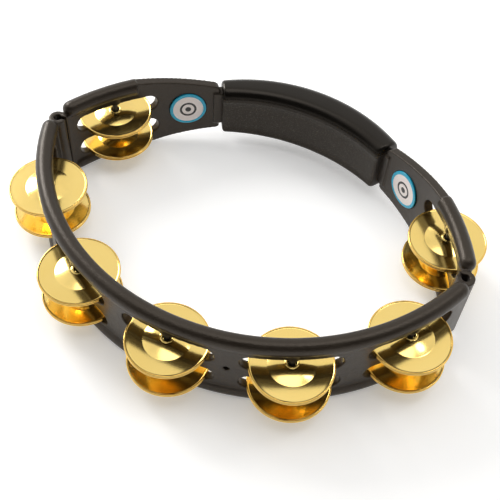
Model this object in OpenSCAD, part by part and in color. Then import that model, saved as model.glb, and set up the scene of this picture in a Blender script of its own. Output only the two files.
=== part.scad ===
// Hand-held headless tambourine with a closed moulded frame, an over-moulded grip and
// seven jingle stations. Each station has two slots, and each slot holds a pair of domed
// jingles, set edge to edge, on one upright pin. Millimetres, +Z up, the rim lying flat.
// Origin: middle of the bounding box, on the plane the lower rim rests on.

/* [Frame outline] */
// Radius of the front arc, to the middle of the web
arc_r = 144; // [142:0.5:146]
// Angle from the front middle to each corner post
corner_angle = 72.7; // [72:0.1:73.4]
// Half the distance between the two bends, where the rims end
bend_x = 106.6; // [105:0.2:108]
// How far each bend lies behind the centre of the front arc
bend_y = 7; // [5.5:0.5:8.5]
// Radius of the side walls that carry the rear stations
side_r = 144; // [130:1:170]
// Half the distance between the ends of the two end plates
plate_end_x = 61.9; // [61.5:0.1:62.4]
// How far the plate ends lie behind the centre of the front arc
plate_end_y = 40.2; // [39.5:0.1:41]
// Radius of the end plates
plate_r = 140; // [125:1:170]

/* [Walls and rims] */
// Thickness of the web and the end plates
web_t = 5.8; // [5:0.1:6.4]
// Radius of the round rims along the top and bottom of the web
rim_r = 5.2; // [4.8:0.1:5.4]
// Height of the upper rim's middle above the middle of the frame
rim_z = 23.9; // [23.5:0.1:24.5]
// How far the end plates stay below the top of the rims at the bends
bend_drop = 1; // [0.5:0.1:2]
// Half the height of an end plate beside the grip
plate_end_half_h = 18.9; // [18:0.1:20]
// Radius of the rounded corners of the end plates
plate_corner_r = 3.4; // [1:0.2:4]

/* [Jingle stations] */
// Angle between two stations on the front arc
station_pitch = 27.9; // [27.5:0.1:28.2]
// Distance from the bend to the middle of the rear station
rear_station = 15.5; // [15:0.1:16]
// Length of a slot, end to end
slot_l = 57; // [56:0.5:59]
// Height of a slot
slot_h = 12.8; // [12.4:0.1:13]
// Height of the upper slots' middle above the middle of the frame
slot_z = 9; // [8.9:0.1:9.5]
// Distance between the middles of an upper and a lower slot
slot_pitch = 20.6; // [20:0.1:20.7]
// Diameter of the upright pins
pin_d = 3.4; // [3:0.1:4]
// Depth of solid rim left above each pin's blind hole
pin_roof = 3; // [2:0.5:5]
// Diameter of the small round hole through the web beside the middle station
peep_d = 3.6; // [2:0.2:5]

/* [Jingles] */
// Radius of a jingle
jingle_r = 24; // [23:0.1:24.4]
// Thickness of the sheet
sheet_t = 0.5; // [0.4:0.05:0.6]
// Radius of the dome in the middle
dome_r = 13.8; // [12:0.1:15]
// Height of the dome
dome_h = 2.2; // [1.6:0.1:2.4]
// Radius of the hole for the pin
jingle_hole_r = 2.75; // [2.5:0.05:3]
// Height of the collar round the hole, sheet included
collar_h = 0.85; // [0.7:0.05:1]
// Thickness of the rolled edge
bead_d = 1.15; // [0.9:0.05:1.15]
// Distance between the flanges of the two jingles of a pair
pair_step = 1.25; // [1.22:0.01:1.5]

/* [Corner posts] */
// Distance from the centre of the front arc to each post's middle
post_at_r = 141.5; // [141:0.1:142]
// Radius of a corner post
post_r = 5.5; // [5.2:0.1:6]
// Half the height of a corner post
post_half_h = 25; // [23:0.5:27]
// Radius of the hole down each post
post_bore_r = 2.4; // [2:0.1:2.6]
// Width of the gap that opens the post to the inside
post_gap = 2; // [1.5:0.1:2.4]

/* [Grip] */
// Half the distance between the two ends of the grip
grip_end_x = 60.2; // [59.8:0.1:60.4]
// Height of the grip
grip_h = 39; // [36:0.5:42]
// Thickness of the grip at its middle
grip_mid_t = 24.5; // [22:0.5:26]
// Thickness of the grip at its ends
grip_end_t = 20.4; // [19:0.2:22]
// Radius of the rounded long edges on the outside
grip_outer_round = 8; // [5:0.5:9]
// Radius of the rounded long edges on the inside
grip_inner_round = 5; // [3:0.5:7]
// Thickness of the frame's tongue inside the grip
core_t = 8; // [7:0.5:10]
// Height of the frame's tongue inside the grip
core_h = 27; // [24:1:30]

/* [Badges] */
// Half the width of a badge along the plate
badge_a = 12.5; // [11:0.1:13]
// Half the height of a badge
badge_b = 13.1; // [12:0.1:14]
// Thickness of a badge
badge_t = 1.4; // [1:0.1:2]
// How far a badge stands out of the plate
badge_proud = 0.5; // [0.3:0.1:0.8]
// Distance of a badge from the plate's end beside the grip
badge_from_end = 21.5; // [20:0.5:23]

/* [Hidden] */
$fn = 96;
SLOTS = ["upper", "lower"];
STATIONS = [1, 2, 3, 4, 5, 6, 7];

overlap = 0.5;           // how far joined shapes run into each other
cut_margin = 9;          // how far a cutter runs past each wall face
dome_steps = 6;          // straight steps along the dome
seat_gap = 0.05;         // gap under the lowest jingle of a pair
ball_step = 0.05;        // how much smaller than a rim the ball at its end is

// Points of the plan, for the right half
corner = arc_r * [sin(corner_angle), -cos(corner_angle)];
bend = [bend_x, bend_y];
plate_end = [plate_end_x, plate_end_y];
post_at = post_at_r * [sin(corner_angle), -cos(corner_angle)];

// Direction, in degrees, from one point of the plan to another
function bearing(from, to) = atan2(to.y - from.y, to.x - from.x);

// Centre of the arc of radius r that bulges outward from p round to q
function arc_centre(p, q, r) =
    let (half = norm(q - p) / 2, way = bearing(p, q))
    (p + q) / 2 + sqrt(r * r - half * half) * [-sin(way), cos(way)];

side_centre = arc_centre(corner, bend, side_r);
side_from = bearing(side_centre, corner);
side_to = bearing(side_centre, bend);
plate_centre = arc_centre(bend, plate_end, plate_r);
plate_from = bearing(plate_centre, bend);
plate_to = bearing(plate_centre, plate_end);
plate_l = norm(plate_end - bend);
bend_half_h = rim_z + rim_r - bend_drop;
web_half_h = rim_z - rim_r / 2;
rear_station_angle = side_to - rear_station / side_r * 180 / PI;
rear_station_at = side_centre + side_r * [cos(rear_station_angle), sin(rear_station_angle)];
front_rim_end = corner_angle - (1.2 * post_r + rim_r / 2) / arc_r * 180 / PI;
side_rim_end = side_from + (post_r + 1.4 * rim_r) / side_r * 180 / PI;
badge_angle = plate_to - badge_from_end / plate_r * 180 / PI;

// The grip's two faces are arcs with their own centres, so that it is thickest in the middle
grip_axis_r = 114.4;
grip_axis_y = plate_end_y - sqrt(grip_axis_r * grip_axis_r - plate_end_x * plate_end_x);
grip_half_angle = asin(grip_end_x / grip_axis_r);
grip_mid_y = grip_axis_y + grip_axis_r;
grip_outer_end = [0, grip_axis_y]
    + (grip_axis_r + grip_end_t / 2) * [sin(grip_half_angle), cos(grip_half_angle)];
grip_inner_end = [0, grip_axis_y]
    + (grip_axis_r - grip_end_t / 2) * [sin(grip_half_angle), cos(grip_half_angle)];
grip_outer_y = grip_mid_y + grip_mid_t / 2;
grip_inner_y = grip_mid_y - grip_mid_t / 2;

// Radius of the circle through a middle point on the Y axis and an end point beside it
function circle_r(mid_y, end) =
    (end.x * end.x + (mid_y - end.y) * (mid_y - end.y)) / (2 * (mid_y - end.y));
grip_outer_r = circle_r(grip_outer_y, grip_outer_end);
grip_inner_r = circle_r(grip_inner_y, grip_inner_end);

// The finished part stands on z = 0 with its bounding box centred on the Z axis
half_h = rim_z + rim_r;
shift_y = (arc_r + jingle_r - grip_outer_y) / 2;

// Stations 1 and 7 are on the side walls, 2 to 6 on the front arc, 4 in the middle
function is_rear(s) = s == 1 || s == 7;
function side_of(s) = s == 1 ? -1 : 1;
function station_at(s) = is_rear(s)
    ? [side_of(s) * rear_station_at.x, rear_station_at.y]
    : arc_r * [sin((s - 4) * station_pitch), -cos((s - 4) * station_pitch)];
function station_turn(s) = is_rear(s)
    ? (s == 1 ? 90 - rear_station_angle : rear_station_angle + 90)
    : (s - 4) * station_pitch;
function slot_mid(slot) = slot == "upper" ? slot_z : slot_z - slot_pitch;
pin_top = half_h - pin_roof;

module at_rest() {
    translate([0, shift_y, half_h]) children();
}

module at_station(s) {
    translate([station_at(s).x, station_at(s).y, 0]) rotate(station_turn(s)) children();
}

// A flat profile swept round an arc, from one direction to another
module arc_sweep(centre, r, from, to) {
    translate([centre.x, centre.y, 0])
        rotate(from)
            rotate_extrude(angle = to - from, $fn = 240)
                translate([r, 0]) children();
}

// A round rim along an arc; a ball, a hair smaller than the rim, rounds each free end
module rim(centre, r, from, to, z, free_ends) {
    arc_sweep(centre, r, from, to) translate([0, z]) circle(rim_r);
    for (way = free_ends)
        translate([centre.x, centre.y, z]) rotate(way) translate([r, 0, 0])
            sphere(rim_r - ball_step);
}

module front_wall() {
    ends = [-90 - front_rim_end, -90 + front_rim_end];
    arc_sweep([0, 0], arc_r, -90 - corner_angle, -90 + corner_angle)
        square([web_t, 2 * web_half_h], center = true);
    for (z = [-rim_z, rim_z]) rim([0, 0], arc_r, ends[0], ends[1], z, ends);
}

module side_wall() {
    arc_sweep(side_centre, side_r, side_from, side_to)
        square([web_t, 2 * web_half_h], center = true);
    for (z = [-rim_z, rim_z])
        rim(side_centre, side_r, side_rim_end, side_to, z, [side_rim_end]);
}

// Side view of an end plate, from the bend to the rounded end beside the grip
module plate_outline() {
    slope = atan((bend_half_h - plate_end_half_h) / plate_l);
    arc_points = [for (a = [0 : 10 : 90])
        [plate_l - plate_corner_r + plate_corner_r * cos(a),
         plate_end_half_h - plate_corner_r + plate_corner_r * sin(a)]];
    upper = concat(arc_points, [[0, bend_half_h], [-web_t, bend_half_h]]);
    lower = [for (i = [len(upper) - 1 : -1 : 0]) [upper[i].x, -upper[i].y]];
    polygon(concat(upper, lower));
}

module end_plate() {
    intersection() {
        arc_sweep(plate_centre, plate_r, plate_from - 1, plate_to + 1)
            square([web_t, 2 * bend_half_h], center = true);
        translate([bend.x, bend.y, 0])
            rotate(bearing(bend, plate_end))
                rotate([90, 0, 0])
                    linear_extrude(4 * web_t, center = true) plate_outline();
    }
}

module corner_post() {
    translate([post_at.x, post_at.y, 0])
        cylinder(h = 2 * post_half_h, r = post_r, center = true);
}

// Hole down the post and the gap that opens it to the inside of the ring
module corner_channel() {
    translate([post_at.x, post_at.y, 0]) {
        cylinder(h = 2 * half_h, r = post_bore_r, center = true);
        rotate(corner_angle + 90)
            translate([0, -post_gap / 2, -half_h])
                cube([2 * post_r, post_gap, 2 * half_h]);
    }
}

// The tongue that ties the two end plates together inside the grip
module handle_core() {
    arc_sweep([0, grip_axis_y], grip_axis_r,
              90 - grip_half_angle - 3, 90 + grip_half_angle + 3)
        square([core_t, core_h], center = true);
}

module slot_cutter() {
    straight = slot_l - slot_h;
    cube([straight, 2 * cut_margin, slot_h], center = true);
    for (x = [-straight / 2, straight / 2])
        translate([x, 0, 0]) rotate([90, 0, 0])
            cylinder(h = 2 * cut_margin, d = slot_h, center = true);
}

// Thickening of the web round the pin, above, between and below the two slots
module pin_boss() {
    cylinder(h = 2 * rim_z, d = web_t + 2.4, center = true);
}

module frame() {
    color([0.16, 0.15, 0.14]) at_rest() difference() {
        union() {
            front_wall();
            handle_core();
            for (side = [0, 1]) mirror([side, 0, 0]) {
                side_wall();
                end_plate();
                corner_post();
            }
            for (s = STATIONS) at_station(s) pin_boss();
        }
        for (side = [0, 1]) mirror([side, 0, 0]) corner_channel();
        for (s = STATIONS) at_station(s) {
            for (slot = SLOTS) translate([0, 0, slot_mid(slot)]) slot_cutter();
            translate([0, 0, -half_h - overlap])
                cylinder(h = half_h + overlap + pin_top, d = pin_d);
        }
        rotate(station_pitch / 2) translate([0, -arc_r, 0]) rotate([90, 0, 0])
            cylinder(h = 2 * cut_margin, d = peep_d, center = true);
        badge_seats();
    }
}

// Rubber sleeve moulded over the tongue
module grip() {
    color([0.1, 0.1, 0.1]) at_rest() difference() {
        intersection() {
            arc_sweep([0, grip_outer_y - grip_outer_r], grip_outer_r, 45, 135) {
                translate([-grip_outer_round, 0])
                    for (up = [-1, 1])
                        translate([0, up * (grip_h / 2 - grip_outer_round)])
                            circle(grip_outer_round);
                translate([-grip_mid_t, 0])
                    square([2 * grip_mid_t, grip_h - 2 * grip_outer_round], center = true);
                translate([-2 * grip_mid_t, -grip_h / 2])
                    square([2 * grip_mid_t - grip_outer_round, grip_h]);
            }
            arc_sweep([0, grip_inner_y - grip_inner_r], grip_inner_r, 45, 135) {
                translate([grip_inner_round, 0])
                    for (up = [-1, 1])
                        translate([0, up * (grip_h / 2 - grip_inner_round)])
                            circle(grip_inner_round);
                translate([0, grip_inner_round - grip_h / 2])
                    square([grip_mid_t, grip_h - 2 * grip_inner_round]);
                translate([grip_inner_round, -grip_h / 2])
                    square([2 * grip_mid_t, grip_h]);
            }
            arc_sweep([0, grip_axis_y], grip_axis_r,
                      90 - grip_half_angle, 90 + grip_half_angle)
                square([2 * grip_mid_t, 2 * grip_h], center = true);
        }
        handle_core();
    }
}

// An oval plug that follows the curve of the end plate
module badge_plug(grow) {
    intersection() {
        arc_sweep(plate_centre, plate_r - web_t / 2 + badge_t / 2 - badge_proud,
                  badge_angle - 9, badge_angle + 9)
            square([badge_t, 3 * badge_b], center = true);
        translate([plate_centre.x, plate_centre.y, 0])
            rotate(badge_angle)
                translate([plate_r - 2 * web_t, 0, 0])
                    rotate([90, 0, 90])
                        linear_extrude(4 * web_t)
                            polygon([for (a = [0 : 6 : 354])
                                [(badge_a + grow) * cos(a), (badge_b + grow) * sin(a)]]);
    }
}

module badge_seats() {
    for (side = [0, 1]) mirror([side, 0, 0]) badge_plug(0.05);
}

module badge(side) {
    color([0.86, 0.85, 0.83]) at_rest() mirror([side == "left" ? 1 : 0, 0, 0]) badge_plug(0);
}

// Steel pin, pressed in from below through both slots
module pin(s) {
    color([0.2, 0.2, 0.2]) at_rest() at_station(s)
        translate([0, 0, -half_h + pin_roof / 2])
            cylinder(h = half_h - pin_roof / 2 + pin_top, d = pin_d);
}

// Height of the dome's middle surface at radius r, measured from the flat flange
function dome_z(r) = dome_h * (1 - (r / dome_r) * (r / dome_r));
collar_base = dome_z(jingle_hole_r) - sheet_t / 2;
collar_top = collar_base + collar_h;

// Sheet jingle with a domed middle, a collar round the hole and a rolled edge
module jingle_disc() {
    collar_r = jingle_hole_r + 2 * sheet_t;
    radii = [for (i = [0 : dome_steps]) collar_r + (dome_r - collar_r) * i / dome_steps];
    above = [for (r = radii) [r, dome_z(r) + sheet_t / 2]];
    below = [for (i = [dome_steps : -1 : 1]) [radii[i], dome_z(radii[i]) - sheet_t / 2]];
    bead = [for (a = [150 : -30 : -150])
        [jingle_r - bead_d / 2 + bead_d / 2 * cos(a), bead_d / 2 * sin(a)]];
    collar = [[collar_r, collar_base], [jingle_hole_r, collar_base],
              [jingle_hole_r, collar_top], [collar_r, collar_top]];
    rotate_extrude() polygon(concat(above, bead, below, collar));
}

// Height at which the lower jingle of a pair rests on its dome, measured to its flange
function seat_z(slot) = slot_mid(slot) - slot_h / 2 + seat_gap + collar_top;

// The lower jingle of a pair is turned over, so that the two domes face away from each other
module jingle(s, slot, disc) {
    color([0.93, 0.74, 0.32]) at_rest() at_station(s)
        translate([0, 0, seat_z(slot) + (disc == "top" ? pair_step : 0)])
            rotate([disc == "top" ? 0 : 180, 0, 0]) jingle_disc();
}

frame();
grip();
badge("left");  // badge_left
badge("right");  // badge_right
for (s = STATIONS) {
    pin(s);
    for (slot = SLOTS)
        for (disc = ["bottom", "top"])
            jingle(s, slot, disc);
}
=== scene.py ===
"""Looks for a headless hand tambourine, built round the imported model, in metres."""
import math

import bmesh
import bpy
from mathutils import Matrix, Vector


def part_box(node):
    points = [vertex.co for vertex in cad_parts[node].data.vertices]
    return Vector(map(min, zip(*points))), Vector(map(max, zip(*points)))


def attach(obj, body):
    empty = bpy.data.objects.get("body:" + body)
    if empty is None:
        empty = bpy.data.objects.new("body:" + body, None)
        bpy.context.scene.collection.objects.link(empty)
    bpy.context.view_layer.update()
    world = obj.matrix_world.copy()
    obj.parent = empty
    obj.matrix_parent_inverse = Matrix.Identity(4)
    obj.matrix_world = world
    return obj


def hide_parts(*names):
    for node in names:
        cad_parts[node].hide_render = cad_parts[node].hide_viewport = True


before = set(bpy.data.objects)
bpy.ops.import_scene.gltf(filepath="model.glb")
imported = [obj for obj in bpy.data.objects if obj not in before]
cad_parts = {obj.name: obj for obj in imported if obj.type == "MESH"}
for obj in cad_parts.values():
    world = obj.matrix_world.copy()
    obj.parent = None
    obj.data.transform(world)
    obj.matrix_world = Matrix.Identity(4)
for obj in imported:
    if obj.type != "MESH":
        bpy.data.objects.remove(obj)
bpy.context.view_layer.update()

# ------------------------------------------------- the camera
# A long lens looks down on the ring from the front, a little to the right of the middle. Its
# place is in metres and its three turns in degrees.
MM = 0.001
CAMERA_PLACE = Vector((129.6, -302.9, 438.4)) * MM
CAMERA_SWING = 22.22
CAMERA_RISE = 37.27
CAMERA_ROLL = 4.32

camera_data = bpy.data.cameras.new("camera")
camera_data.lens = 61.34
camera_data.sensor_width = 36
camera_data.clip_end = 10
camera = bpy.data.objects.new("camera", camera_data)
bpy.context.scene.collection.objects.link(camera)
camera.matrix_world = (
    Matrix.Translation(CAMERA_PLACE)
    @ Matrix.Rotation(math.radians(CAMERA_SWING), 4, "Z")
    @ Matrix.Rotation(math.radians(CAMERA_RISE), 4, "X")
    @ Matrix.Rotation(math.radians(CAMERA_ROLL), 4, "Z")
)
bpy.context.scene.camera = camera


# ------------------------------------------------- the moulded frame
# One injection moulding in charcoal nylon: web, round rims, end plates and corner posts. The
# mould leaves every edge softly rounded and a fine spark-eroded grain on the skin.
class Socket:
    """A number coming out of a node; arithmetic on it adds Math nodes."""

    def __init__(self, nodes, out):
        self.nodes = nodes
        self.out = out

    def math(self, kind, *values):
        return self.nodes.add("Math", {"operation": kind}, dict(enumerate(values)))

    def __add__(self, other):
        return self.math("ADD", self, other)

    def __radd__(self, other):
        return self.math("ADD", other, self)

    def __sub__(self, other):
        return self.math("SUBTRACT", self, other)

    def __rsub__(self, other):
        return self.math("SUBTRACT", other, self)

    def __mul__(self, other):
        return self.math("MULTIPLY", self, other)

    def __rmul__(self, other):
        return self.math("MULTIPLY", other, self)

    def above(self, edge):
        return self.math("GREATER_THAN", self, edge)

    def below(self, edge):
        return self.math("LESS_THAN", self, edge)


class Nodes:
    """The node tree of one finish, or of the room."""

    def __init__(self, owner):
        self.owner = owner
        owner.use_nodes = True
        self.tree = owner.node_tree

    def add(self, kind, settings, inputs, output=0):
        node = self.tree.nodes.new("ShaderNode" + kind)
        for name, value in settings.items():
            setattr(node, name, value)
        for name, value in inputs.items():
            if isinstance(value, Socket):
                self.tree.links.new(value.out, node.inputs[name])
            else:
                node.inputs[name].default_value = value
        return Socket(self, node.outputs[output])

    def place(self):
        return self.add("TexCoord", {}, {}, "Object")

    def noise(self, scale, detail=2, place=None):
        return self.add("TexNoise", {}, {"Vector": place or self.place(), "Scale": scale, "Detail": detail})

    def blend(self, factor, one, two):
        node = self.add("Mix", {"data_type": "RGBA"}, {0: factor}, 2)
        for slot, value in ((6, one), (7, two)):
            socket = node.out.node.inputs[slot]
            if isinstance(value, Socket):
                self.tree.links.new(value.out, socket)
            else:
                socket.default_value = (*value, 1)
        return node

    def bump(self, height, depth, strength=1.0):
        return self.add("Bump", {}, {"Height": height, "Distance": depth, "Strength": strength}, "Normal")

    def finish(self, **sockets):
        shader = self.tree.nodes["Principled BSDF"]
        for name, value in sockets.items():
            socket = shader.inputs[name.replace("_", " ").title().replace("Ior", "IOR")]
            if isinstance(value, Socket):
                self.tree.links.new(value.out, socket)
            elif isinstance(value, tuple):
                socket.default_value = (*value, 1)
            else:
                socket.default_value = value
        return self.owner


NYLON_DEEP = (0.012, 0.009, 0.0065)
NYLON_PALE = (0.024, 0.018, 0.013)
NYLON_PAINTED_GLINT = (0.06, 0.051, 0.042)
NYLON_GRAIN_DEPTH = 0.0004


def moulded_nylon():
    """Near-black nylon, faintly patchy, with a spark-eroded grain and a few pale specks painted in as glints
    off the grain.
    """
    n = Nodes(bpy.data.materials.new("moulded_nylon"))
    patches = n.noise(35, 3)
    grain = n.noise(1100, 3)
    flow = n.noise(170, 3)
    # Painted highlight: pale specks of colour that stand in for glints off the grain.
    painted_glints = n.noise(1700, 1).above(0.66)
    colour = n.blend(patches, NYLON_DEEP, NYLON_PALE)
    colour = n.blend(painted_glints * 0.3, colour, NYLON_PAINTED_GLINT)
    roughness = 0.20 + patches * 0.12 + grain * 0.14
    height = grain * 0.8 + flow * 0.7
    return n.finish(
        base_color=colour,
        roughness=roughness,
        normal=n.bump(height, NYLON_GRAIN_DEPTH, 0.5),
        specular_tint=(1.0, 0.87, 0.74),
        specular_ior_level=0.46,
    )


def finished(name, source, body, slot, material, *replaced):
    """Puts a finished mesh in the scene as one piece with its finish, hangs it on its body and hides the
    imported parts it replaces.
    """
    piece = bpy.data.objects.new(name, source)
    bpy.context.scene.collection.objects.link(piece)
    source.materials.clear()
    source.materials.append(material)
    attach(piece, body)
    if replaced:
        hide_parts(*replaced)
    return piece


def softened_copy(node, voxel, passes, keep):
    """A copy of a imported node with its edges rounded, as a mould's radii leave them."""
    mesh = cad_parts[node].data.copy()
    shape = bmesh.new()
    shape.from_mesh(mesh)
    bmesh.ops.remove_doubles(shape, verts=shape.verts, dist=1e-6)
    shape.to_mesh(mesh)
    shape.free()
    rough = bpy.data.objects.new(node + "_rough", mesh)
    bpy.context.scene.collection.objects.link(rough)
    remesh = rough.modifiers.new("skin", "REMESH")
    remesh.mode = "VOXEL"
    remesh.voxel_size = voxel
    remesh.use_smooth_shade = True
    smooth = rough.modifiers.new("radii", "SMOOTH")
    smooth.factor = 0.5
    smooth.iterations = passes
    thin = rough.modifiers.new("thin", "DECIMATE")
    thin.ratio = keep
    result = bpy.data.meshes.new_from_object(rough.evaluated_get(bpy.context.evaluated_depsgraph_get()))
    bpy.data.objects.remove(rough)
    result.polygons.foreach_set("use_smooth", [True] * len(result.polygons))
    return result


def smooth_outwards(mesh):
    """Turns every face outwards and shades the whole skin smooth."""
    shape = bmesh.new()
    shape.from_mesh(mesh)
    bmesh.ops.recalc_face_normals(shape, faces=shape.faces)
    shape.to_mesh(mesh)
    shape.free()
    mesh.polygons.foreach_set("use_smooth", [True] * len(mesh.polygons))
    return mesh


FRAME_VOXEL = 0.55 * MM
FRAME_KEEP = 0.36
SMOOTHING_PASSES = 5

frame_mesh = softened_copy("frame", FRAME_VOXEL, SMOOTHING_PASSES, FRAME_KEEP)
finished("frame_moulding", frame_mesh, "frame_body", "moulding", moulded_nylon(), "frame")


# ------------------------------------------------- the grip
# A sleeve of soft black rubber moulded over the frame's tongue: crowned on the outside, with a
# flatter, finely textured panel set into its inner face and rounded ends.
grip_low, grip_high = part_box("grip")
GRIP_H = (grip_high[2] - grip_low[2]) / MM
MID_Z = (grip_high[2] + grip_low[2]) / 2 / MM
GRIP_BACK = grip_high[1] / MM
GRIP_R = 114.4
GRIP_MID_T = 24.5
GRIP_END_T = 20.4
GRIP_CENTRE_Y = GRIP_BACK - GRIP_MID_T / 2 - GRIP_R
GRIP_HALF_CHORD = 60.2
GRIP_HALF = math.asin(GRIP_HALF_CHORD / GRIP_R)
END_DROP = 1.1
END_PINCH = 0.75
PANEL_INSET = 0.25
PANEL_GAP = 0.3
PANEL_SLOPE = 0.35
PANEL_POINTS = 7
END_ROUND = 2.4
CROWN = 0.9
INNER_TOP_R = 7.6
INNER_LOW_R = 3.2
OUTER_R = 8.0
CORNER_STEPS = 10
RING_STEPS = 72
END_PLACES = (0, 0.12, 0.4, 0.8, 1.3, 1.8, END_ROUND)


def grip_section(half_t, half_h):
    """Points round the sleeve: (outwards, up), starting on the inner face and going round."""
    first = -half_h + INNER_LOW_R + PANEL_GAP
    last = half_h - INNER_TOP_R - PANEL_GAP
    points = [(-half_t, first)]
    for i in range(PANEL_POINTS):
        share = i / (PANEL_POINTS - 1)
        points.append((-half_t + PANEL_INSET, first + PANEL_SLOPE + (last - first - 2 * PANEL_SLOPE) * share))
    points.append((-half_t, last))
    corners = (
        (-half_t + INNER_TOP_R, half_h - INNER_TOP_R, INNER_TOP_R, 180, 90),
        (half_t - OUTER_R, half_h - OUTER_R, OUTER_R, 90, 0),
        (half_t - OUTER_R, -half_h + OUTER_R, OUTER_R, 0, -90),
        (-half_t + INNER_LOW_R, -half_h + INNER_LOW_R, INNER_LOW_R, -90, -180),
    )
    for across, up, r, start, stop in corners:
        for k in range(CORNER_STEPS + 1):
            a = math.radians(start + (stop - start) * k / CORNER_STEPS)
            points.append((across + r * math.cos(a), up + r * math.sin(a)))
        if start == 90:
            back = half_h - OUTER_R
            for k in range(1, 6):
                z = back - 2 * back * k / 6
                points.append((half_t + CROWN * (1 - (z / back) ** 2), z))
    return points


def grip_mesh():
    """The section carried round the grip's arc: thickest in the middle, rounded at both ends."""
    arc_l = 2 * GRIP_HALF * GRIP_R
    places = list(END_PLACES)
    places += [END_ROUND + (arc_l - 2 * END_ROUND) * i / RING_STEPS for i in range(1, RING_STEPS)]
    places += [arc_l - p for p in reversed(END_PLACES)]
    verts = []
    rings = []
    for s in places:
        near = min(s, arc_l - s)
        shrink = END_ROUND - math.sqrt(END_ROUND**2 - (END_ROUND - near) ** 2) if near < END_ROUND else 0
        u = 2 * s / arc_l - 1
        half_t = (GRIP_MID_T + (GRIP_END_T - GRIP_MID_T) * u * u) / 2 - CROWN - shrink * END_PINCH
        half_h = GRIP_H / 2 - END_DROP * u * u - shrink * END_PINCH
        out = Vector((math.sin(GRIP_HALF * u), math.cos(GRIP_HALF * u), 0))
        base = Vector((0, GRIP_CENTRE_Y, MID_Z)) + out * GRIP_R
        ring = []
        for across, up in grip_section(half_t, half_h):
            ring.append(len(verts))
            verts.append((base + out * across + Vector((0, 0, up))) * MM)
        rings.append(ring)
    faces = []
    for a, b in zip(rings, rings[1:]):
        for i in range(len(a)):
            j = (i + 1) % len(a)
            faces.append((a[i], a[j], b[j], b[i]))
    faces.append(tuple(reversed(rings[0])))
    faces.append(tuple(rings[-1]))
    mesh = bpy.data.meshes.new("grip_sleeve")
    mesh.from_pydata(verts, [], faces)
    return smooth_outwards(mesh)


RUBBER_DEEP = (0.0022, 0.0019, 0.0016)
RUBBER_DUSTY = (0.005, 0.0044, 0.0036)
RUBBER_PANEL_PAINTED_LIGHTER = (0.022, 0.0185, 0.0145)
RUBBER_PAINTED_GLINT = (0.085, 0.073, 0.06)
RUBBER_GRAIN_DEPTH = 0.00035
PANEL_TOP = GRIP_H / 2 - 8.2
PANEL_WANDER = 1.6


def soft_rubber():
    """Smooth black rubber over the top and a gritty face below the top of the panel; the face is painted
    greyer and the crown darker, painted light and shade for how each faces the room.
    """
    n = Nodes(bpy.data.materials.new("soft_rubber"))
    dust = n.noise(60, 4)
    grain = n.noise(900, 3)
    up = n.add("SeparateXYZ", {}, {"Vector": n.place()}, "Z")
    edge = dust * (PANEL_WANDER * MM) + PANEL_TOP * MM
    # The panel's grit and roughness are real; its lighter colour is painted light, and the crown above it
    # stays near-black as painted shade.
    panel_painted_lighter = (up - MID_Z * MM).below(edge)
    # Painted highlight: pale specks on the panel that stand in for glints off its grit.
    painted_glints = n.noise(1500, 2).above(0.60) * panel_painted_lighter
    colour = n.blend(dust, RUBBER_DEEP, RUBBER_DUSTY)
    colour = n.blend(panel_painted_lighter * 0.9, colour, RUBBER_PANEL_PAINTED_LIGHTER)
    colour = n.blend(painted_glints * 0.6, colour, RUBBER_PAINTED_GLINT)
    height = grain * (panel_painted_lighter * 0.8 + 0.12)
    return n.finish(
        base_color=colour,
        roughness=0.19 + dust * 0.12 + panel_painted_lighter * 0.22,
        normal=n.bump(height, RUBBER_GRAIN_DEPTH, 0.6),
        specular_tint=(1.0, 0.88, 0.76),
        specular_ior_level=0.34,
    )


finished("grip_sleeve", grip_mesh(), "frame_body", "grip_rubber", soft_rubber(), "grip")


# ------------------------------------------------- the jingles
# Twenty-eight pressed discs of polished brass: a domed middle, a collar turned up round the
# hole and a rolled edge. The two of a pair sit edge to edge, so the lower one is turned over.
BRASS_LOW = (0.95, 0.685, 0.21)
BRASS_HIGH = (0.97, 0.735, 0.265)
BRASS_EDGE = (0.86, 0.54, 0.13)
BRASS_RING_DEPTH = 0.00005


def polished_brass():
    """Polished brass, slightly clouded, with spun rings and a darker amber edge."""
    n = Nodes(bpy.data.materials.new("polished_brass"))
    cloud = n.noise(45, 3)
    haze = n.noise(700, 3)
    across = n.add("UVMap", {"uv_map": "spun"}, {})
    rings = n.noise(1.0, 3, n.add("VectorMath", {"operation": "MULTIPLY"}, {0: across, 1: (55, 0.7, 0)}))
    reach = n.add("SeparateXYZ", {}, {"Vector": across}, "X")
    colour = n.blend(cloud, BRASS_LOW, BRASS_HIGH)
    colour = n.blend(reach.above(0.957) * 0.75, colour, BRASS_EDGE)
    return n.finish(
        base_color=colour,
        metallic=1.0,
        roughness=0.10 + haze * 0.05 + cloud * 0.05,
        normal=n.bump(rings * 0.8 + n.noise(130, 2) * 0.6, BRASS_RING_DEPTH, 0.35),
    )


JINGLE_R = 24.0
DOME_R = 13.8
DOME_H = 2.2
HOLE_R = 2.75
COLLAR_H = 0.85
COLLAR_WALL = 1.15
COLLAR_LIP = 0.42
SHEET_T = 0.5
BEAD_D = 1.15
TURNS = 112
DOME_STEPS = 26
FLANGE_STEPS = (16.5, 19, 21.5)


def dome_height(r):
    """Height of the middle of the sheet above the flange, r from the hole's centre."""
    return DOME_H * (1 - (r / DOME_R) ** 2)


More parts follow.
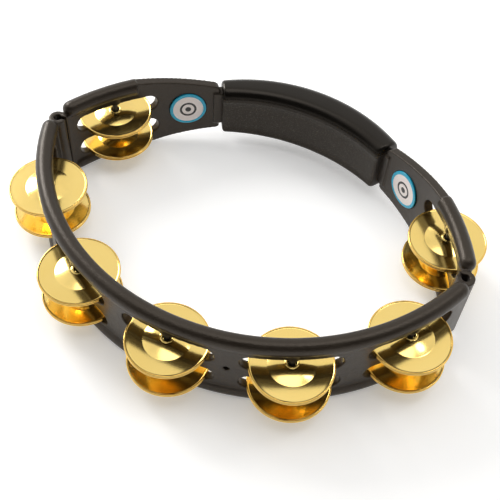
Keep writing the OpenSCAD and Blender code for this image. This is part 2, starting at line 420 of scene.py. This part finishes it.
def jingle_outline():
    """The closed outline of half a jingle: (radius, height above the middle of the flange)."""
    half = SHEET_T / 2
    base = dome_height(HOLE_R) - half
    lip_base = base + COLLAR_H - COLLAR_LIP
    lip_r = COLLAR_WALL / 2
    points = [(HOLE_R + 0.12, base), (HOLE_R, base + 0.15), (HOLE_R, lip_base)]
    for k in range(1, 10):
        a = math.pi - math.pi * k / 10
        points.append((HOLE_R + lip_r + lip_r * math.cos(a), lip_base + COLLAR_LIP * math.sin(a)))
    points.append((HOLE_R + COLLAR_WALL, dome_height(HOLE_R + COLLAR_WALL) + half + 0.08))
    start = HOLE_R + COLLAR_WALL + 0.12
    dome = [start + (DOME_R - start) * k / DOME_STEPS for k in range(DOME_STEPS + 1)]
    bead_at = JINGLE_R - BEAD_D / 2
    flange = [DOME_R + 0.12, DOME_R + 0.6, *FLANGE_STEPS, bead_at - 0.9]
    points += [(r, dome_height(r) + half) for r in dome]
    points += [(r, half) for r in flange]
    for k in range(15):
        a = math.radians(150 - 300 * k / 14)
        points.append((bead_at + BEAD_D / 2 * math.cos(a), BEAD_D / 2 * math.sin(a)))
    points += [(r, -half) for r in reversed(flange)]
    points += [(r, dome_height(r) - half) for r in reversed(dome[::2])]
    return points


def jingle_mesh(name, place, up):
    """The outline turned round the upright axis at place; up is -1 for a disc turned over."""
    outline = jingle_outline()
    count = len(outline)
    verts = []
    for turn in range(TURNS):
        a = 2 * math.pi * turn / TURNS
        verts += [(place + Vector((r * math.cos(a), r * math.sin(a), up * z))) * MM for r, z in outline]
    faces = []
    flat = []
    for turn in range(TURNS):
        beside = (turn + 1) % TURNS
        for i in range(count):
            k = (i + 1) % count
            faces.append((turn * count + i, turn * count + k, beside * count + k, beside * count + i))
            flat += [(outline[i][0], turn), (outline[k][0], turn)]
            flat += [(outline[k][0], turn + 1), (outline[i][0], turn + 1)]
    mesh = bpy.data.meshes.new(name)
    mesh.from_pydata(verts, [], faces)
    spun = mesh.uv_layers.new(name="spun").data
    for loop, (r, turn) in zip(spun, flat):
        loop.uv = (r / JINGLE_R, turn / TURNS)
    return smooth_outwards(mesh)


brass = polished_brass()
for station in range(1, 8):
    for slot_name in ("upper", "lower"):
        for disc in ("bottom", "top"):
            node = f"jingle_{station}_{slot_name}_{disc}"
            low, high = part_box(node)
            if disc == "bottom":
                up = -1
                flange = high[2] / MM - BEAD_D / 2
            else:
                up = 1
                flange = low[2] / MM + BEAD_D / 2
            place = Vector(((low[0] + high[0]) / 2 / MM, (low[1] + high[1]) / 2 / MM, flange))
            mesh = jingle_mesh(node + "_disc", place, up)
            finished(node + "_disc", mesh, node, "jingle_brass", brass, node)


# ------------------------------------------------- the pins
# Seven drawn steel pins with a dark oxide finish. Each is pressed up through the web from below
# and carries the four jingles of its station.
PIN_CHAMFER = 0.4 * MM
PIN_TURNS = 40


def black_steel():
    """Dark oxide on drawn steel, a little rubbed."""
    n = Nodes(bpy.data.materials.new("black_steel"))
    wear = n.noise(400, 4)
    colour = n.blend(wear, (0.06, 0.058, 0.055), (0.14, 0.135, 0.13))
    roughness = 0.28 + wear * 0.2
    return n.finish(base_color=colour, metallic=0.9, roughness=roughness, normal=n.bump(wear, 0.00005, 0.4))


def pin_mesh(name, node):
    """A round rod with a chamfer at each end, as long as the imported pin."""
    low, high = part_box(node)
    centre = Vector(((low[0] + high[0]) / 2, (low[1] + high[1]) / 2, 0))
    radius = (high[0] - low[0]) / 2
    outline = (
        (radius - PIN_CHAMFER, low[2]),
        (radius, low[2] + PIN_CHAMFER),
        (radius, high[2] - PIN_CHAMFER),
        (radius - PIN_CHAMFER, high[2]),
    )
    shape = bmesh.new()
    rings = []
    for r, z in outline:
        ring = []
        for turn in range(PIN_TURNS):
            a = 2 * math.pi * turn / PIN_TURNS
            ring.append(shape.verts.new(centre + Vector((r * math.cos(a), r * math.sin(a), z))))
        rings.append(ring)
    for below, above in zip(rings, rings[1:]):
        for turn in range(PIN_TURNS):
            beside = (turn + 1) % PIN_TURNS
            shape.faces.new((below[turn], below[beside], above[beside], above[turn]))
    shape.faces.new(list(reversed(rings[0])))
    shape.faces.new(rings[-1])
    mesh = bpy.data.meshes.new(name)
    shape.to_mesh(mesh)
    shape.free()
    for face in mesh.polygons:
        face.use_smooth = abs(face.normal.z) < 0.2
    return mesh


steel = black_steel()
for station in range(1, 8):
    node = f"pin_{station}"
    finished(node + "_rod", pin_mesh(node + "_rod", node), "frame_body", "pin_steel", steel, node)


# ------------------------------------------------- the badges
# Two oval plugs of glossy plastic, set into the end plates: a turquoise ring round an off-white
# field, slightly domed, with a plain dark disc and ring as decoration.
BADGE_HALF_W = 12.5
BADGE_HALF_H = 13.1
BADGE_CURVE_R = 136.6
BADGE_FACE_AT = 0.35
BADGE_DOME = 0.35
BADGE_BACK_AT = -0.75
BADGE_TURNS = 72
BADGE_RINGS = (0.0, 0.12, 0.25, 0.4, 0.55, 0.7, 0.82, 0.9, 0.96, 0.99, 1.0, 1.0)
PLATE_FACING = (0.5785, 0.8157)


def badge_mesh(name, node, side):
    """A domed oval that follows the curve of the end plate, unwrapped so its edge is at 1."""
    low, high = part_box(node)
    centre = Vector(((low[0] + high[0]) / 2, (low[1] + high[1]) / 2, (low[2] + high[2]) / 2)) / MM
    facing = Vector((-side * PLATE_FACING[0], -PLATE_FACING[1], 0))
    along = Vector((facing.y, -facing.x, 0))
    shape = bmesh.new()
    uv = shape.loops.layers.uv.new("badge")
    layers = []
    places = {}
    for step, share in enumerate(BADGE_RINGS):
        lift = BADGE_FACE_AT + BADGE_DOME * (1 - share**2)
        if step == len(BADGE_RINGS) - 1:
            lift = BADGE_BACK_AT
        elif share == 1.0:
            lift -= 0.25
        elif share > 0.98:
            lift -= 0.05
        ring = []
        for turn in range(BADGE_TURNS if share else 1):
            a = 2 * math.pi * turn / BADGE_TURNS
            x = BADGE_HALF_W * share * math.cos(a)
            z = BADGE_HALF_H * share * math.sin(a)
            sag = x * x / (2 * BADGE_CURVE_R)
            vert = shape.verts.new((centre + along * x + facing * (lift + sag) + Vector((0, 0, z))) * MM)
            places[vert] = (share * math.cos(a), share * math.sin(a))
            ring.append(vert)
        layers.append(ring)
    hub = layers[0][0]
    for turn in range(BADGE_TURNS):
        shape.faces.new((hub, layers[1][turn], layers[1][(turn + 1) % BADGE_TURNS]))
    for inner, outer in zip(layers[1:], layers[2:]):
        for turn in range(BADGE_TURNS):
            beside = (turn + 1) % BADGE_TURNS
            shape.faces.new((inner[turn], outer[turn], outer[beside], inner[beside]))
    shape.faces.new(list(reversed(layers[-1])))
    for face in shape.faces:
        for loop in face.loops:
            loop[uv].uv = places[loop.vert]
    mesh = bpy.data.meshes.new(name)
    shape.to_mesh(mesh)
    shape.free()
    return smooth_outwards(mesh)


BADGE_FIELD = ((0.86, 0.78, 0.75), (0.93, 0.86, 0.83))
BADGE_RING = ((0.010, 0.36, 0.56), (0.016, 0.44, 0.66))
BADGE_DARK = (0.02, 0.019, 0.018)


def badge_enamel():
    """An off-white field with a dark disc and ring in its middle and a turquoise border."""
    n = Nodes(bpy.data.materials.new("badge_enamel"))
    flat = n.add("UVMap", {"uv_map": "badge"}, {})
    reach = n.add("VectorMath", {"operation": "LENGTH"}, {0: flat}, "Value")
    cloud = n.noise(300, 2)
    field = n.blend(cloud, *BADGE_FIELD)
    ring = n.blend(cloud, *BADGE_RING)
    dark = reach.below(0.16) + reach.above(0.34) * reach.below(0.46)
    colour = n.blend(dark, field, BADGE_DARK)
    colour = n.blend(reach.above(0.83), colour, ring)
    return n.finish(base_color=colour, roughness=0.2 + cloud * 0.1, normal=n.bump(cloud, 0.00003, 0.3))


enamel = badge_enamel()
for node, side in (("badge_left", -1), ("badge_right", 1)):
    mesh = badge_mesh(node + "_face", node, side)
    finished(node + "_face", mesh, "frame_body", "badge_plastic", enamel, node)


# ------------------------------------------------- floor and light
# A pale seamless floor, a white room that is dark on the camera's side, and three soft lamps.
FLOOR_HALF = 6


def pale_floor():
    """Matt white paper, lit a little from within so that it stays white."""
    n = Nodes(bpy.data.materials.new("pale_floor"))
    cloud = n.noise(4, 2)
    shade = n.blend(cloud, (0.90, 0.90, 0.90), (0.94, 0.94, 0.94))
    return n.finish(base_color=shade, roughness=0.9, emission_color=shade, emission_strength=0.32)


floor_mesh = bpy.data.meshes.new("floor")
corners = [(-FLOOR_HALF, -FLOOR_HALF, 0), (FLOOR_HALF, -FLOOR_HALF, 0)]
corners += [(FLOOR_HALF, FLOOR_HALF, 0), (-FLOOR_HALF, FLOOR_HALF, 0)]
floor_mesh.from_pydata(corners, [], [(0, 1, 2, 3)])
floor = bpy.data.objects.new("floor", floor_mesh)
bpy.context.scene.collection.objects.link(floor)
floor_mesh.materials.append(pale_floor())


def room():
    """White walls and a white ceiling behind the part, and an unlit room on the camera's side."""
    n = Nodes(bpy.data.worlds.new("room"))
    way = n.add("TexCoord", {}, {}, "Generated")
    front = n.add("VectorMath", {"operation": "DOT_PRODUCT"}, {0: way, 1: (0.378, -0.926, 0)}, "Value")
    high = n.add("VectorMath", {"operation": "DOT_PRODUCT"}, {0: way, 1: (0, 0, 1)}, "Value")
    dark = n.add("MapRange", {"interpolation_type": "SMOOTHSTEP"}, {"Value": front, 1: 0.06, 2: 0.34})
    above = n.add("MapRange", {"interpolation_type": "SMOOTHSTEP"}, {"Value": high, 1: 0.10, 2: 0.40})
    cloud = n.noise(3.1, 1, way)
    light = n.blend(cloud, (0.66, 0.655, 0.64), (1.14, 1.13, 1.11))
    shade = n.blend(dark * above, light, (0.05, 0.048, 0.045))
    background = n.tree.nodes["Background"]
    n.tree.links.new(shade.out, background.inputs["Color"])
    bpy.context.scene.world = n.owner


def soft_lamp(name, place, size, power):
    """A round lamp at place, in metres, aimed at the middle of the floor."""
    lamp = bpy.data.lights.new(name, "AREA")
    lamp.shape = "DISK"
    lamp.size = size
    lamp.energy = power
    holder = bpy.data.objects.new(name, lamp)
    bpy.context.scene.collection.objects.link(holder)
    holder.location = place
    holder.rotation_euler = (-Vector(place)).to_track_quat("-Z", "Y").to_euler()


room()
soft_lamp("overhead", (0.05, 0.0, 1.5), 0.9, 2.6)
soft_lamp("left_back", (-1.2, 0.45, 0.85), 0.7, 13)
soft_lamp("right_back", (0.55, 0.5, 1.4), 0.35, 1.6)
bpy.context.scene.view_settings.view_transform = "Standard"
